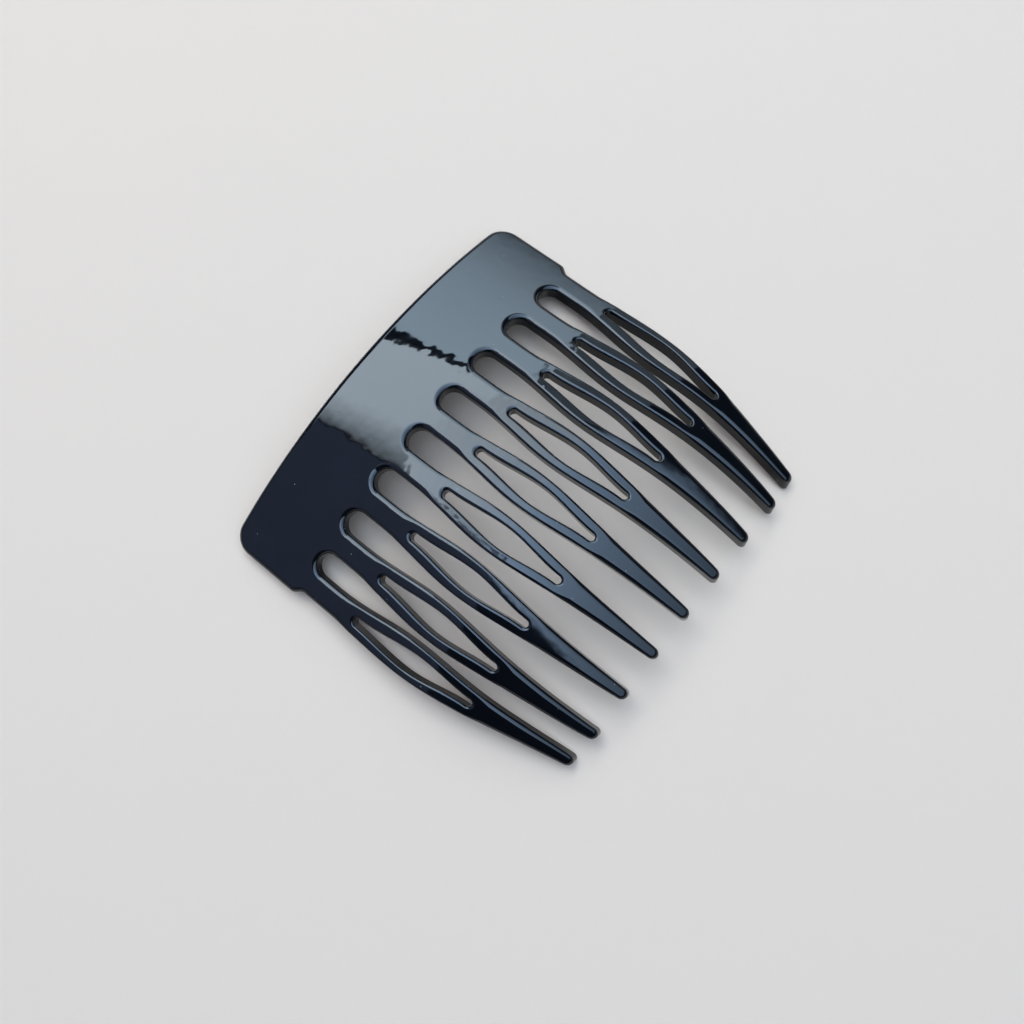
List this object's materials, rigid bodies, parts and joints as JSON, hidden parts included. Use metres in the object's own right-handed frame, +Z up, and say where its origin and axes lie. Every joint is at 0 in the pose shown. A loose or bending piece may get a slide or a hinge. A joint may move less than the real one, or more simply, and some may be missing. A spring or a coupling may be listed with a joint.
{
  "type": "decorative hair comb",
  "caption": "Arched side comb of polished black plastic: a plain head plate with round-ended tines that curl towards the scalp, each with a long lens-shaped eye.",
  "frame": {"origin": "on the table under the middle of the comb, which lies on its head corners and outer tine tips with its convex face up", "axes": "+X across the tines, +Y from the tips towards the head edge, +Z up"},
  "size_m": [0.074, 0.0696, 0.0126],
  "materials": {
    "black_acetate": "solid black cellulose acetate, edges tumbled round and polished to a high gloss"
  },
  "bodies": {
    "root": {"head_plate": "black_acetate", "tine_1": "black_acetate", "tine_2": "black_acetate", "tine_3": "black_acetate", "tine_4": "black_acetate", "tine_5": "black_acetate", "tine_6": "black_acetate", "tine_7": "black_acetate", "tine_8": "black_acetate", "tine_9": "black_acetate"}
  },
  "joints": []
}
